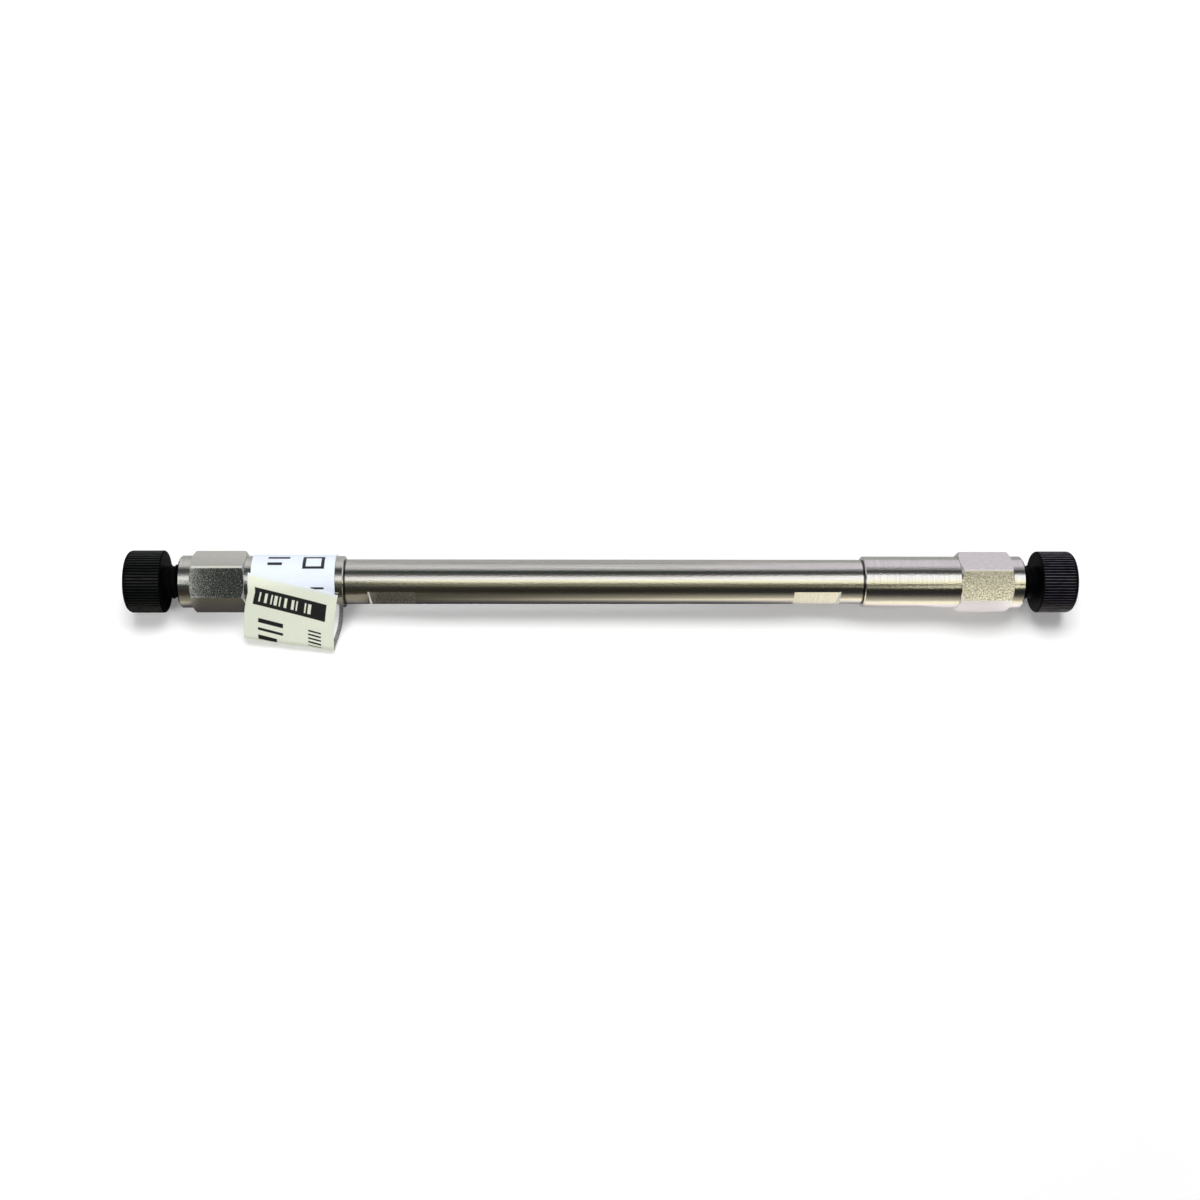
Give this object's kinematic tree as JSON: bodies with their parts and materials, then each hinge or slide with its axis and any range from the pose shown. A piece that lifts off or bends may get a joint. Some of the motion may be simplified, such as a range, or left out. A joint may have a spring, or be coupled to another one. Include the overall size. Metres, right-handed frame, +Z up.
{
  "type": "hplc column",
  "caption": "Packed steel chromatography column with screwed end caps, coned ports, knurled storage plugs and a wound label.",
  "frame": {"origin": "centre of the inlet port's mouth, on the face of the inlet cap's boss", "axes": "+X along the column's axis from inlet to outlet, +Z up, with the column lying on its two plugs"},
  "size_m": [0.1344, 0.0135, 0.0088],
  "materials": {
    "tube_steel": "drawn tube, lightly polished",
    "bed_packing": "packed porous silica",
    "cap_steel": "turned and milled",
    "frit_steel": "sintered, porous",
    "ring_polymer": "machined polymer",
    "plug_plastic": "moulded, satin",
    "label_paper": "printed adhesive strip"
  },
  "bodies": {
    "column": {"column_tube": "tube_steel", "packed_bed": "bed_packing", "inlet_end_cap": "cap_steel", "outlet_end_cap": "cap_steel", "inlet_frit": "frit_steel", "outlet_frit": "frit_steel", "inlet_seal_ring": "ring_polymer", "outlet_seal_ring": "ring_polymer", "label": "label_paper"},
    "inlet_plug": {"inlet_plug": "plug_plastic"},
    "outlet_plug": {"outlet_plug": "plug_plastic"}
  },
  "joints": [
    {"name": "inlet_plug_draw", "type": "slide", "parent": "column", "child": "inlet_plug", "axis": [-1, 0, 0], "range_m": [0, 0.01]},
    {"name": "outlet_plug_draw", "type": "slide", "parent": "column", "child": "outlet_plug", "axis": [1, 0, 0], "range_m": [0, 0.01]}
  ]
}
